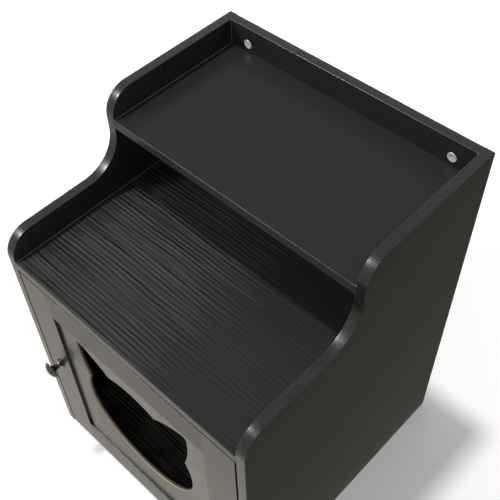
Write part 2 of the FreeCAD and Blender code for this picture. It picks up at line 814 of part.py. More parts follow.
def build_hinges(stile_tools):
    for name, z in zip(("lower", "upper"), hinge_heights):
        add("hinge_cup_" + name, hinge_cup(z))
        add("hinge_pin_" + name, hinge_pin(z))
        add("hinge_arm_" + name, hinge_arm(z))
        add("hinge_plate_" + name, hinge_plate(z))
        for end in (-1, 1):
            add("hinge_cup_screws", cup_screw(z, end))
            stile_tools.append(cup_screw(z, end))
        for y in arm_screw_places():
            add("hinge_arm_screws", arm_screw(y, z, 0))
        stile_tools.append(rod(cup_radius, Vec(cup_x, door_thickness, z), -BACK, cup_depth))
    for y, z in plate_screw_places():
        add("hinge_plate_screws", plate_screw(y, z))


# ---- magnetic catch -------------------------------------------------------------------------
def build_catch(top_tools, stile_tools):
    """The catch under the lower top, and the strike plate on the door behind the knob's stile."""
    case_front = catch_front + pole_reach
    case_back = case_front + catch_body_depth
    middle_y = (case_front + case_back) / 2
    body_bottom = catch_top - catch_body_height
    ears = block(about(catch_x, catch_length / 2), (case_front, case_back),
                 (catch_top - catch_ear_thickness, catch_top))
    ears = soften(ears, lambda p: near(abs(p.x - catch_x), catch_length / 2) and
                  (near(p.y, case_front) or near(p.y, case_back)), catch_ear_round)
    body = block(about(catch_x, catch_body_length / 2), (case_front, case_back),
                 (body_bottom, catch_top))
    case = ears.fuse(body).removeSplitter()
    pole_middle = (body_bottom + catch_top - catch_ear_thickness) / 2
    magnet_back = case_back - magnet_cover
    magnet = block(about(catch_x, pole_length / 2), (case_front, magnet_back),
                   about(pole_middle, pole_spacing / 2 - pole_thickness / 2))
    poles = [block(about(catch_x, pole_length / 2), (catch_front, magnet_back),
                   about(pole_z, pole_thickness / 2))
             for pole_z in about(pole_middle, pole_spacing / 2)]
    screws = []
    for x in about(catch_x, catch_screw_spacing / 2):
        seat = Vec(x, middle_y, catch_top - catch_ear_thickness)
        screws.append(pan_screw(seat, UP, catch_screw_length, catch_screw_radius,
                                catch_screw_head_radius, catch_screw_head_thickness))
    add("catch_case", case.cut([magnet] + poles + screws))
    add("catch_magnet", magnet)
    add("catch_pole_plates", poles)
    add("catch_screws", screws)
    top_tools += screws

    plate_top = door_top - strike_drop
    strike = block(about(catch_x, strike_length / 2),
                   (door_thickness, door_thickness + strike_thickness),
                   (plate_top - strike_height, plate_top))
    strike = soften(strike, lambda p: near(abs(p.x - catch_x), strike_length / 2) and
                    (near(p.z, plate_top) or near(p.z, plate_top - strike_height)), strike_round)
    face_point = Vec(catch_x, door_thickness + strike_thickness, plate_top - strike_height / 2)
    screw = sunk_screw(face_point, -BACK, strike_screw_length, strike_screw_radius,
                       strike_screw_head_radius, strike_thickness)
    add("strike_plate", strike.cut(screw))
    add("strike_screw", screw)
    stile_tools.append(screw)


def build_door(left_tools, right_tools):
    screw = knob_screw()
    left = stile((door_left, stile_inner_left), stile_inner_left, 1)
    right = stile((stile_inner_right, door_right), stile_inner_right, -1)
    add("door_stile_left", left.cut(left_tools + [screw]))
    add("door_stile_right", right.cut(right_tools))
    add("door_rail_bottom", door_rail((door_bottom, rail_inner_bottom), rail_inner_bottom, 1))
    add("door_rail_top", door_rail((rail_inner_top, door_top), rail_inner_top, -1))
    reach = groove_depth - inset_float
    panel = block((stile_inner_left - reach, stile_inner_right + reach), (inset_front, inset_back),
                  (rail_inner_bottom - reach, rail_inner_top + reach))
    add("door_panel", panel.cut(cat_head()))
    add("knob", knob().cut(screw))
    add("knob_screw", screw)


build_carcass()
left_stile_tools = []
right_stile_tools = []
lower_top_tools = []
build_hinges(right_stile_tools)
build_catch(lower_top_tools, left_stile_tools)
pieces["lower_top"] = [pieces["lower_top"][0].cut(lower_top_tools)]
build_door(left_stile_tools, right_stile_tools)

os.makedirs("parts", exist_ok=True)
for name, solids in pieces.items():
    shape = solids[0] if len(solids) == 1 else Part.makeCompound(solids)
    shape = shape.copy()
    shape.translate(-origin)
    shape.exportStep("parts/" + name + ".step")
    print(name, len(shape.Solids), "valid" if shape.isValid() else "INVALID")
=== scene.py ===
"""Looks of the stepped cat litter box cabinet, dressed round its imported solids.

Lengths are metres in the cabinet's own frame: x to the right, y from the door
to the back, z up from the floor.
"""
import json
import math

import bmesh
import bpy
import numpy as np
from bpy.props import FloatProperty, FloatVectorProperty, IntProperty, PointerProperty
from bpy.types import Operator, Panel, PropertyGroup
from mathutils import Matrix, Vector

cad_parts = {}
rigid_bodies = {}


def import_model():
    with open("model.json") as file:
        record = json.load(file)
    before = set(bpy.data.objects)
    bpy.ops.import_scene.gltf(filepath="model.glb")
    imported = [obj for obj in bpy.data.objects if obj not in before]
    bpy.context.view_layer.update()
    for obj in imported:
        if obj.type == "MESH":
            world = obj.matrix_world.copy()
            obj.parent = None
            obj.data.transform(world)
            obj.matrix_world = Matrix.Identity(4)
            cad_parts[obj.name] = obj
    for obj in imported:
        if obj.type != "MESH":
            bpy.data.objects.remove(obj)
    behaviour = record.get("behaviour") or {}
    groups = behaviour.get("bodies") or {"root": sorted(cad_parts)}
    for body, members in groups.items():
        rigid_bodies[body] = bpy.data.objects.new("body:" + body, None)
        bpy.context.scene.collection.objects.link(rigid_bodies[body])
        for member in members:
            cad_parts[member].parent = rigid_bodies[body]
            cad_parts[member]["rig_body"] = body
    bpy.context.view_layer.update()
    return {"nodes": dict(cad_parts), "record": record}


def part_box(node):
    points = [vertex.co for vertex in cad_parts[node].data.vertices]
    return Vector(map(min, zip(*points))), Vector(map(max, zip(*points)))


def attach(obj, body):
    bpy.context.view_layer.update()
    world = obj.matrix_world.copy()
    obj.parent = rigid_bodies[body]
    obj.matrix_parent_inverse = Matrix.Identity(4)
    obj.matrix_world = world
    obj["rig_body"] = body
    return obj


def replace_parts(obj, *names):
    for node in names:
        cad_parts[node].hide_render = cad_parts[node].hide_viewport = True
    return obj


bl_info = {
    "name": "Cat Litter Cabinet Looks",
    "version": (1, 0, 0),
    "blender": (4, 5, 0),
    "location": "3D View > Sidebar > Cabinet",
    "description": "Dresses a stepped cat litter box cabinet in black laminate",
    "category": "Object",
}

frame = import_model()

MM = 0.001
DOWN = Vector((0, 0, -1))
FRONT = Vector((0, -1, 0))


# ---- sizes and colours that a user would change ------------------------------------
def colour(name, description, default):
    return FloatVectorProperty(name=name, description=description, default=default,
                               size=3, subtype="COLOR", min=0, max=1)


def length(name, description, default):
    return FloatProperty(name=name, description=description, default=default,
                         unit="LENGTH", subtype="DISTANCE", min=0)


def share(name, description, default):
    return FloatProperty(name=name, description=description, default=default,
                         subtype="FACTOR", min=0, max=1)


class LaminateSettings(PropertyGroup):
    face: colour("Face", "Colour of the printed black laminate", (0.022, 0.022, 0.0216))
    # the streak colour is partly the grain and partly a painted highlight on the raised streaks
    streak: colour("Streak", "Colour of the raised grain", (0.1, 0.098, 0.093))
    band: colour("Edge band", "Colour of the banded edges", (0.003, 0.0029, 0.0026))
    # the arris line is partly wear and partly a painted highlight along the edge
    arris: colour("Arris", "Colour of the worn line along a front edge", (0.3, 0.285, 0.24))
    # this line is a painted highlight along the joint where a board meets a side panel
    seam: colour("Seam", "Colour of the thin line where a cut laminate ends",
                 (0.26, 0.26, 0.245))
    chipboard: colour("Chipboard", "Colour of the bare board on hidden edges",
                      (0.36, 0.24, 0.13))
    fibreboard: colour("Fibreboard", "Colour of the bare edge of the opening",
                       (0.5, 0.34, 0.22))
    # the cut edge turns darker from 1.6 mm to 2.8 mm behind the panel's front
    darker_fibreboard: colour("Shaded fibreboard", "Colour of that edge behind its front arris",
                 (0.055, 0.034, 0.02))
    grain_spacing: length("Grain spacing", "Distance from one raised streak to the next",
                          6.8 * MM)
    grain_depth: length("Grain depth", "Height of the raised streaks", 0.12 * MM)
    gloss: share("Roughness", "Roughness of the plain laminate", 0.32)


class BackSettings(PropertyGroup):
    bare: colour("Bare hardboard", "Colour of the rear face", (0.19, 0.105, 0.05))
    fleck: length("Fleck", "Size of the fibre flecks", 2.5 * MM)


class KnobSettings(PropertyGroup):
    paint: colour("Paint", "Colour of the glossy paint", (0.006, 0.006, 0.006))
    rim_radius: length("Rim radius", "Rounding of the widest ring", 1.2 * MM)
    rim_reach: length("Rim reach", "From the door's face to the widest ring", 19.5 * MM)
    base_radius: length("Base radius", "Radius of the ring on the door", 8 * MM)
    base_thickness: length("Base thickness", "Thickness of the ring on the door", 2.4 * MM)
    neck_radius: length("Neck radius", "Radius of the slim neck", 4.6 * MM)
    neck_length: length("Neck length", "From the door's face to the flare", 10.7 * MM)
    around: IntProperty(name="Steps", description="Points around the knob", default=96, min=12)


class FittingSettings(PropertyGroup):
    zinc: colour("Zinc", "Colour of the cast cam discs", (0.8, 0.8, 0.78))
    steel: colour("Steel", "Colour of plated steel", (0.62, 0.61, 0.58))
    beech: colour("Beech", "Colour of the dowels", (0.55, 0.37, 0.2))
    plastic: colour("Plastic", "Colour of the catch and the glides", (0.012, 0.012, 0.012))
    ferrite: colour("Ferrite", "Colour of the catch's magnet", (0.03, 0.03, 0.032))
    cam_cross_width: length("Cam cross width", "Width of the slots of a cam disc", 2.2 * MM)
    cam_cross_length: length("Cam cross length", "Length of the slots of a cam disc", 9.8 * MM)
    cam_cross_depth: length("Cam cross depth", "Depth of the slots of a cam disc", 2.3 * MM)
    cross_width: length("Cross width", "Width of a driver's slot in a screw", 0.9 * MM)
    cross_depth: length("Cross depth", "Depth of a driver's slot in a screw", 1.1 * MM)
    thread_pitch: length("Thread pitch", "From one turn of a thread to the next", 1.4 * MM)
    around: IntProperty(name="Steps", description="Points around a screw", default=48, min=12)


class StudioSettings(PropertyGroup):
    floor: colour("Floor", "Colour of the pale floor", (0.88, 0.88, 0.88))
    card_front: colour("Front card", "The floor before the door, as gloss shows it",
                       (1.0, 0.94, 0.83))
    # the side and far cards are painted shade: the floor beside the cabinet as reflections show it
    shaded_card_near: colour("Side card", "The floor beside the cabinet, as gloss shows it",
                      (0.27, 0.26, 0.2))
    shaded_card_far: colour("Far card", "The floor farther off, as gloss shows it",
                     (0.17, 0.165, 0.125))
    lift: share("Floor lift", "Light added to the floor as it is seen", 0.15)
    surround: share("Surround", "Strength of the light from all sides", 0.4)
    key_strength: FloatProperty(name="Key strength", description="Light of the overhead lamp on "
                                "the floor, in watts for each square metre", default=1.85, min=0)
    key_angle: FloatProperty(name="Key angle", description="How wide the overhead lamp looks",
                             default=math.radians(5), subtype="ANGLE", min=0)
    fill_strength: FloatProperty(name="Fill strength", description="Soft light from the front "
                                 "left, in watts for each square metre", default=1.1, min=0)
    box_power: FloatProperty(name="Softbox power", description="Power of the softbox",
                             default=110.0, unit="POWER", min=0)
    box_size: length("Softbox size", "Side of the square softbox", 0.3)
    box_distance: length("Softbox distance", "From the cabinet's middle to the softbox", 2.4)


# ---- shader maths ---------------------------------------------------------------------
class Value:
    """A number socket of a material that Python's arithmetic can be written on."""

    def __init__(self, maker, socket):
        self.maker = maker
        self.socket = socket

    def math(self, operation, *others, first=None):
        inputs = dict(enumerate([self if first is None else first, *others]))
        return self.maker.node("ShaderNodeMath", {"operation": operation}, inputs)

    def __add__(self, other):
        return self.math("ADD", other)

    __radd__ = __add__

    def __sub__(self, other):
        return self.math("SUBTRACT", other)

    def __rsub__(self, other):
        return self.math("SUBTRACT", self, first=other)

    def __mul__(self, other):
        return self.math("MULTIPLY", other)

    __rmul__ = __mul__

    def __abs__(self):
        return self.math("ABSOLUTE")

    def ramp(self, low, high):
        """0 up to the low value, 1 from the high one, with a smooth step between."""
        inputs = {"Value": self, "From Min": low, "From Max": high}
        return self.maker.node("ShaderNodeMapRange", {"interpolation_type": "SMOOTHSTEP"}, inputs)

    def either(self, other):
        return self.math("MAXIMUM", other)


class Maker:
    """One material, or the world, and its nodes."""

    def __init__(self, name, holder=None):
        self.holder = holder or bpy.data.materials.new(name)
        self.holder.use_nodes = True
        self.tree = self.holder.node_tree
        self.shader = self.tree.nodes.get("Principled BSDF")

    def node(self, kind, settings=None, inputs=None, output=0):
        """Add a node: its settings first, then the values or links of its sockets."""
        node = self.tree.nodes.new(kind)
        for name, value in (settings or {}).items():
            setattr(node, name, value)
        for name, value in (inputs or {}).items():
            self.feed(node.inputs[name], value)
        return Value(self, node.outputs[output])

    def feed(self, socket, value):
        if isinstance(value, Value):
            self.tree.links.new(value.socket, socket)
        else:
            socket.default_value = value

    def place(self):
        """The three coordinates of a point in the cabinet's frame."""
        point = self.node("ShaderNodeTexCoord", output="Object")
        return [self.node("ShaderNodeSeparateXYZ", None, {0: point}, axis) for axis in "XYZ"]

    def facing(self):
        """How far the surface faces along x, y and z."""
        normal = self.node("ShaderNodeTexCoord", output="Normal")
        return [self.node("ShaderNodeSeparateXYZ", None, {0: normal}, axis) for axis in "XYZ"]

    def point(self, x, y, z):
        return self.node("ShaderNodeCombineXYZ", None, {0: x, 1: y, 2: z})

    def noise(self, point, scale=1.0, detail=2.0, roughness=0.5):
        """Noise from 0 to 1. Its scale, or the factor on a place, is in waves for a metre."""
        inputs = {"Vector": point, "Scale": scale, "Detail": detail, "Roughness": roughness}
        return self.node("ShaderNodeTexNoise", None, inputs, "Fac")

    def drawn(self, along, over, detail):
        """Noise that is drawn out along a grain."""
        return self.noise(self.point(along, over, 0.0), 1.0, detail)

    def blend(self, amount, first, second):
        """A colour that goes from the first to the second as the amount goes from 0 to 1."""
        mix = self.node("ShaderNodeMix", {"data_type": "RGBA"}, {0: amount}, 2)
        for name, value in (("A_Color", first), ("B_Color", second)):
            socket = next(s for s in mix.socket.node.inputs if s.identifier == name)
            self.feed(socket, value if isinstance(value, Value) else (*value, 1))
        return mix

    def bump(self, height, distance):
        return self.node("ShaderNodeBump", None, {"Height": height, "Distance": distance}, "Normal")

    def finish(self, **sockets):
        """Set the shader's sockets, with spaces written as underscores."""
        for name, value in sockets.items():
            if name == "Base_Color" and not isinstance(value, Value):
                value = (*value, 1)
            self.feed(self.shader.inputs[name.replace("_", " ")], value)
        return self.holder


def times(tint, factor):
    """A colour made lighter or darker."""
    return tuple(min(1, part * factor) for part in tint)


def streaks(m, over, along, spacing):
    """How far the grain stands up at a point, and how deep it is hollowed out.

    The broad streaks are a sine of the place over them, which a noise bends. Finer ones
    are noises of the bent place, drawn out along the grain.
    """
    bend = m.drawn(along * 5, over * 22, 2.0)
    count = over * (1 / spacing) + bend * 1.9
    wave = (count * (2 * math.pi)).math("SINE")
    each = m.drawn(along * 4, count * 0.9, 1.0).ramp(0.25, 0.6)
    fine = m.drawn(along * 9, count * 4.3, 3.0).ramp(0.42, 0.66)
    thin = m.drawn(along * 7, count * 8.5, 2.0).ramp(0.52, 0.68)
    raised = wave.ramp(0.3, 1.0) * each * 0.45 + fine * 0.35 + thin * 0.35
    hollow = (wave * -1).ramp(-0.2, 0.8) * (1 - fine * 0.6)
    return raised, hollow


def edge_skin(m, place, across):
    """The two noises of a banded edge: a leathery speckle, and lines along the band."""
    speckle = m.noise(m.point(*place.values()), 620.0, 3.0)
    lines = m.noise(m.point(*[place[axis] * (1600 if axis == across else 60)
                              for axis in "xyz"]), 1.0, 2.0)
    return speckle.ramp(0.4, 0.7), lines.ramp(0.35, 0.7)


def wear_and_glint_line(m, place, along, planes):
    """1 within 0.3 mm of where the planes meet and 0 from 0.6 mm, with worn gaps.

    planes gives a place on each of the named axes. Along x it stands for both sides. The pale line
    is partly wear and partly a painted highlight.
    """
    gap = sum(abs((abs(place[axis]) if axis == "x" else place[axis]) - value)
              for axis, value in planes.items())
    return (1 - gap.ramp(0.3 * MM, 0.6 * MM)) * m.noise(along, 45.0, 3.0).ramp(-0.2, 0.35)


def laminate(name, grain, emboss, across="x", seams=None, arris=None, fade=None, bare=(),
             pale=1.0, dull=0.0, face_coat=0.0, band_coat=0.5, band_lift=0.0, band_skin=1.0):
    """Black wood-grain laminate.

    grain is the axis that the streaks run along, across the axis that points out of
    the board's two faces, and emboss how strongly the streaks stand out. The streaks are
    lighter and their hollows darker: partly the grain itself, partly a painted highlight on
    the ridges and painted shade in the hollows. fade gives the two places along x between
    which the streaks die out. seams is the distance from the middle at which the laminate
    is cut off, where a thin painted highlight runs along the joint. arris gives the planes
    that meet in a pale line, partly wear and partly a painted highlight, which is faint
    where there is only one. bare lists the sides, such as '+y', that show the bare
    chipboard. pale multiplies the streaks' colour; above 1 it is painted light where little
    light reaches. dull is added to the roughness, and the two coats are the clear gloss of
    the faces and of the banded edges. band_lift brings those edges towards white, and
    band_skin is how deep their leathery skin is.
    """
    look = bpy.context.scene.laminate
    m = Maker(name)
    place = dict(zip("xyz", m.place()))
    facing = dict(zip("xyz", m.facing()))
    over = place[next(axis for axis in "xyz" if axis not in (grain, across))]
    along = place[grain]

    strength = m.drawn(along * 6, over * 9, 2.0).ramp(0.1, 0.5) * emboss
    if fade:
        strength = strength * (1 - place["x"].ramp(*fade) * 0.85)
    raised, hollow = (part * strength for part in streaks(m, over, along, look.grain_spacing))
    # painted shade darkens the hollows; the raised streaks get the streak colour, partly grain and
    # partly a painted highlight
    face = m.blend(hollow, tuple(look.face), times(look.face, 0.2))
    face = m.blend(raised, face, times(look.streak, pale))

    speckle, lines = edge_skin(m, place, across)
    edge = 1 - abs(facing[across]).ramp(0.6, 0.9)
    band_tone = (speckle * 0.6 + lines * 0.4) * 0.022 + band_lift
    tone = m.blend(edge, face, m.blend(band_tone, tuple(look.band), (1, 0.98, 0.93)))
    # a thin painted highlight along the joint where the board meets a side panel, at the laminate's
    # cut end
    if seams is not None:
        line = abs(place["x"]).ramp(seams - 1.3 * MM, seams - 0.9 * MM) * (1 - edge)
        tone = m.blend(line, tone, tuple(look.seam))
    # a pale line along the arris, partly wear and partly a painted highlight; it dies out along x
    # where a fade is given, and is faint where only one plane is given
    if arris:
        wear_and_glint = wear_and_glint_line(m, place, along, arris)
        if fade:
            wear_and_glint = wear_and_glint * (1 - place["x"].ramp(-0.12, 0.15) * 0.8)
        if len(arris) == 1:
            wear_and_glint = wear_and_glint * edge * 0.25
        tone = m.blend(wear_and_glint, tone, tuple(look.arris))

    rough = look.gloss + dull + raised * 0.15 + edge * (speckle * 0.1 - 0.09)
    height = raised + edge * (speckle * 0.5 + lines * 0.3) * band_skin
    if bare:
        chips = m.noise(m.point(*place.values()), 420.0, 4.0, 0.7)
        chip_tone = m.blend(chips.ramp(0.3, 0.7), times(look.chipboard, 0.45),
                            times(look.chipboard, 1.5))
    for sign, axis in bare:
        mask = (facing[axis] * (1 if sign == "+" else -1)).ramp(0.8, 0.95)
        tone = m.blend(mask, tone, chip_tone)
        rough = rough + mask * 0.5
        height = height + mask * chips
    return m.finish(Base_Color=tone, Roughness=rough, IOR=1.5, Specular_IOR_Level=0.06,
                    Coat_Weight=edge * (band_coat - face_coat) + face_coat,
                    Coat_Roughness=0.25, Coat_IOR=1.5,
                    Normal=m.bump(height, look.grain_depth))


def fibreboard_edge(name):
    """The laminate of the thin panel, with bare fibreboard where it is cut through."""
    look = bpy.context.scene.laminate
    m = Maker(name)
    x, y, z = m.place()
    facing = m.facing()
    face_grain = m.noise(m.point(x * 180, y * 180, z * 4), 1.0, 3.0).ramp(0.4, 0.75)
    cut = 1 - abs(facing[1]).ramp(0.35, 0.6)
    fibres = m.noise(m.point(x * 300, y * 1400, z * 300), 1.0, 4.0, 0.65)
    bare = m.blend(fibres.ramp(0.3, 0.7), times(look.fibreboard, 0.6),
                   times(look.fibreboard, 1.25))
    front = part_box("door_panel")[0].y
    # the cut edge turns darker from 1.6 mm to 2.8 mm behind the panel's front
    bare = m.blend(y.ramp(front + 1.6 * MM, front + 2.8 * MM), bare, tuple(look.darker_fibreboard))
    face = m.blend(face_grain * 0.12, tuple(look.face), tuple(look.streak))
    tone = m.blend(cut, face, bare)
    return m.finish(Base_Color=tone, Roughness=look.gloss + cut * 0.45, IOR=1.5,
                    Normal=m.bump(face_grain * 0.4 + cut * fibres, look.grain_depth))


def hardboard(name):
    """Black on the inner face, brown pressed fibre on the rear face."""
    look = bpy.context.scene.back
    black = bpy.context.scene.laminate
    m = Maker(name)
    x, y, z = m.place()
    rear = m.facing()[1].ramp(0.3, 0.6)
    flecks = m.noise(m.point(x, y, z), 1 / look.fleck, 5.0, 0.7)
    clouds = m.noise(m.point(x, y, z), 9.0, 3.0)
    screen = m.noise(m.point(x * 900, y * 10, z * 900), 1.0, 0.0)
    brown = m.blend((flecks * 0.7 + clouds * 0.3).ramp(0.3, 0.7),
                    times(look.bare, 0.55), times(look.bare, 1.5))
    tone = m.blend(rear, tuple(black.face), brown)
    return m.finish(Base_Color=tone, Roughness=rear * 0.45 + 0.33, IOR=1.5,
                    Normal=m.bump(rear * (flecks * 0.5 + screen * 0.5), 0.3 * MM))


def metal(name, tint, roughness, wear, cast, metallic=1.0):
    """Plated or cast metal: cloudy roughness, fine marks and a cast or drawn skin.

    wear is how far the clouds darken it, and cast is 1 for a cloudy skin and 0 for one
    with drawn marks.
    """
    m = Maker(name)
    x, y, z = m.place()
    clouds = m.noise(m.point(x, y, z), 260.0, 3.0)
    marks = m.noise(m.point(x * 3200, y * 700, z * 3200), 1.0, 2.0)
    tone = m.blend(clouds.ramp(0.3, 0.7) * wear, tint, times(tint, 0.55))
    return m.finish(Base_Color=tone, Metallic=metallic, Roughness=clouds * 0.22 + (roughness - 0.1),
                    Normal=m.bump(marks * (1 - cast) + clouds * cast, 0.03 * MM))


def moulded(name, tint, roughness, scale=1400.0):
    """Moulded or painted black: a fine leathery skin."""
    m = Maker(name)
    x, y, z = m.place()
    skin = m.noise(m.point(x, y, z), scale, 2.0)
    clouds = m.noise(m.point(x, y, z), 60.0, 2.0)
    tone = m.blend(clouds.ramp(0.35, 0.7) * 0.35, tint, times(tint, 2.2))
    return m.finish(Base_Color=tone, Roughness=skin * 0.12 + roughness, IOR=1.5,
                    Normal=m.bump(skin, 0.02 * MM))


def wood(name, tint):
    """Plain beech: short pores along the dowel, which lies along x."""
    m = Maker(name)
    x, y, z = m.place()
    pores = m.noise(m.point(x * 90, y * 900, z * 900), 1.0, 3.0)
    tone = m.blend(pores.ramp(0.3, 0.75), tint, times(tint, 0.62))
    return m.finish(Base_Color=tone, Roughness=pores * 0.2 + 0.45,
                    Normal=m.bump(pores, 0.06 * MM))


# ---- surfaces -------------------------------------------------------------------------
def surface(name, grids, body, material, sharp=40):
    """Join grids of points into one closed mesh.

    Each grid is an array (rows, columns, 3) whose columns go once round and close on
    themselves. Rows that shrink to a point close as a pole.
    """
    points, faces, start = [], [], 0
    for grid in grids:
        rows, columns = grid.shape[:2]
        index = start + np.arange(rows * columns).reshape(rows, columns)
        beside = np.roll(index, -1, axis=1)
        faces.append(np.stack([index[:-1], beside[:-1], beside[1:], index[1:]], -1).reshape(-1, 4))
        points.append(grid.reshape(-1, 3))
        start += rows * columns
    points, faces = np.concatenate(points), np.concatenate(faces)
    mesh = bpy.data.meshes.new(name)
    mesh.vertices.add(len(points))
    mesh.vertices.foreach_set("co", points.astype(np.float32).ravel())
    mesh.loops.add(faces.size)
    mesh.loops.foreach_set("vertex_index", faces.astype(np.int32).ravel())
    mesh.polygons.add(len(faces))
    mesh.polygons.foreach_set("loop_start", np.arange(0, faces.size, 4, dtype=np.int32))
    mesh.update(calc_edges=True)
    tidy(mesh, 0.002 * MM)
    mesh.shade_smooth()
    mesh.set_sharp_from_angle(angle=math.radians(sharp))
    piece = bpy.data.objects.new(name, mesh)
    return keep(piece, body, material)


def tidy(mesh, distance, outward=True):
    """Merge doubled points and turn the faces outwards."""
    work = bmesh.new()
    work.from_mesh(mesh)
    bmesh.ops.remove_doubles(work, verts=work.verts, dist=distance)
    bmesh.ops.dissolve_degenerate(work, dist=distance / 4, edges=work.edges)
    if outward:
        bmesh.ops.recalc_face_normals(work, faces=work.faces)
    work.to_mesh(mesh)
    work.free()


def keep(piece, body, material):
    """Put a finished piece in the scene, on its body and with its finish."""
    bpy.context.scene.collection.objects.link(piece)
    piece.data.materials.clear()
    piece.data.materials.append(material)
    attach(piece, body)
    return piece


def smooth_copy(node, name, material, sharp=25, board=True):
    """A merged copy of a solid's mesh whose curved faces are shaded as curves.

    The loose triangles' own normals are dropped, because they don't fit merged points.
    The two broad faces of a board are shaded flat.
    """
    source = frame["nodes"][node]
    mesh = source.data.copy()
    mesh.name = name
    if mesh.has_custom_normals:
        mesh.attributes.remove(mesh.attributes["custom_normal"])
    tidy(mesh, 0.001 * MM, outward=False)
    mesh.shade_smooth()
    mesh.set_sharp_from_angle(angle=math.radians(sharp))
    if board:
        low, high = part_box(node)
        normals = np.empty(len(mesh.polygons) * 3, np.float32)
        mesh.polygons.foreach_get("normal", normals)
        across = abs(normals.reshape(-1, 3)[:, np.argmin(high - low)])
        mesh.polygons.foreach_set("use_smooth", across < 0.9999)
    piece = bpy.data.objects.new(name, mesh)
    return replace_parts(keep(piece, source["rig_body"], material), node)


def arc(middle, radius, first, last, steps):
    """Points on an arc: the middle plus the radius times the cosine and sine of the angle."""
    angle = np.radians(np.linspace(first, last, steps))
    return np.stack([middle[0] + radius * np.cos(angle), middle[1] + radius * np.sin(angle)], -1)


def axes_along(direction):
    """Two unit vectors square to a direction."""
    along = np.array(direction, float)
    side = np.cross(along, (0, 0, 1)) if abs(along[2]) < 0.9 else np.array((1.0, 0, 0))
    return along, side, np.cross(along, side)


def turned(start, direction, profile, around):
    """A surface of revolution: start + along * direction + radius * (cos a, sin a).

    The profile lists (along, radius) pairs, and the angle a goes once round.
    """
    along, side, up = axes_along(direction)
    angle = np.linspace(0, 2 * np.pi, around, endpoint=False)
    ring = np.cos(angle)[:, None] * side + np.sin(angle)[:, None] * up
    profile = np.asarray(profile)
    return (np.array(start) + profile[:, 0, None, None] * along
            + profile[:, 1, None, None] * ring[None])


def solids_of(node):
    """The boxes of the separate solids of a node, as (low, high) arrays.

    Points that share a place are one, and labels spread along the triangles until
    each solid has one.
    """
    mesh = frame["nodes"][node].data
    points = np.empty(len(mesh.vertices) * 3, np.float32)
    mesh.vertices.foreach_get("co", points)
    points = points.reshape(-1, 3)
    corners = np.empty(len(mesh.loops), np.int32)
    mesh.loops.foreach_get("vertex_index", corners)
    same = np.unique(np.round(points, 6), axis=0, return_inverse=True)[1].ravel()
    triangles = same[corners.reshape(-1, 3)]
    label = np.arange(same.max() + 1)
    while True:
        least = label[triangles].min(1)
        spread = label.copy()
        for corner in range(3):
            np.minimum.at(spread, triangles[:, corner], least)
        if np.array_equal(spread, label):
            break
        label = spread
    groups = label[same]
    return [(points[groups == g].min(0), points[groups == g].max(0)) for g in np.unique(groups)]


def cross(across, up, half_width, half_length):
    """1 inside a cross of two slots and 0 outside it, with soft walls."""
    small, large = np.minimum(abs(across), abs(up)), np.maximum(abs(across), abs(up))
    wall = np.clip((half_width - small) / (0.25 * half_width) + 0.5, 0, 1)
    end = np.clip((half_length - large) / (0.25 * half_width) + 0.5, 0, 1)
    return wall * end


def screw(box, direction, head_radius, head_thickness, radius, sunk):
    """A cross-head screw that fills a solid's box along its axis.

    The head is a dome, or a flat cone where it is sunk, less a cross that is a
    fixed depth inside two slots. The shank's radius is a triangle wave of the
    distance along it less the share of a turn, which winds a thread round it.
    """
    look = bpy.context.scene.fittings
    low, high = box
    along, side, up = axes_along(direction)
    middle = (low + high) / 2
    total = float(abs((high - low) @ along))
    start = middle - along * total / 2
    steps = look.around
    angle = np.linspace(0, 2 * np.pi, steps, endpoint=False)
    ring = np.cos(angle)[:, None] * side + np.sin(angle)[:, None] * up

    reach = np.linspace(0, 1, 16)[:, None] * head_radius * (1.0 if sunk else 0.82)
    across, over = reach * np.cos(angle), reach * np.sin(angle)
    depth = look.cross_depth * cross(across, over, look.cross_width / 2, head_radius * 0.62)
    depth = depth * np.clip(1.15 - reach / (head_radius * 0.7), 0.25, 1)
    top = start + depth[..., None] * along + reach[..., None] * ring
    if sunk:
        side_profile = [(0.2 * MM, head_radius), (head_thickness, radius)]
    else:
        side_profile = [(head_thickness * 0.18, head_radius * 0.93),
                        (head_thickness * 0.5, head_radius), (head_thickness, head_radius),
                        (head_thickness, radius)]
    side_wall = turned(start, direction, side_profile, steps)

    thread_end, tip = total - 1.6 * MM, total - 0.4 * MM
    run = np.linspace(head_thickness, thread_end, 60)[1:, None]
    turn = (run / look.thread_pitch - angle / (2 * np.pi)) % 1
    wave = 1 - 0.24 * abs(2 * turn - 1)
    shank = start + run[..., None] * along + (radius * wave)[..., None] * ring
    point = turned(start, direction, [(tip, radius * 0.3), (total, 0)], steps)
    return np.concatenate([top, side_wall, shank, point])


